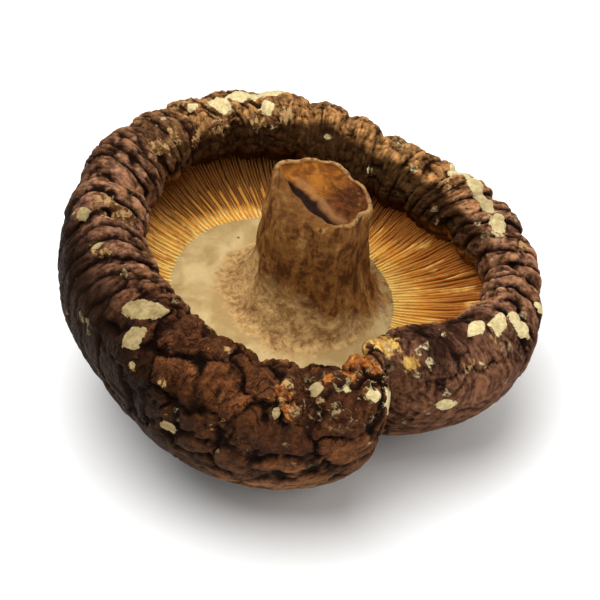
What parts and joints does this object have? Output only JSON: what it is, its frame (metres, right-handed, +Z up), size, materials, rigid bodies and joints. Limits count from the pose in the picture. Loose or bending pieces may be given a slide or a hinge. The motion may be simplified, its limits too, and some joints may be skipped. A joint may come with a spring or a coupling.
{
  "type": "shiitake mushroom",
  "caption": "Dried shiitake mushroom lying on its crown: domed cap with the margin rolled in over radial gills, a pale disc, and a short cut stem.",
  "frame": {"origin": "centre of the bounding box at its base, on the flat of the crown that the mushroom rests on", "axes": "+Z up, from the crown of the cap to the cut stem; +X to the right and +Y to the back as the picture shows it"},
  "size_m": [0.0472, 0.0464, 0.0287],
  "materials": {
    "skin": "leathery, wrinkled, faintly glossy",
    "gills": "matt, thin and papery",
    "flesh": "matt, fibrous"
  },
  "bodies": {
    "root": {"mushroom": "skin"}
  },
  "joints": []
}
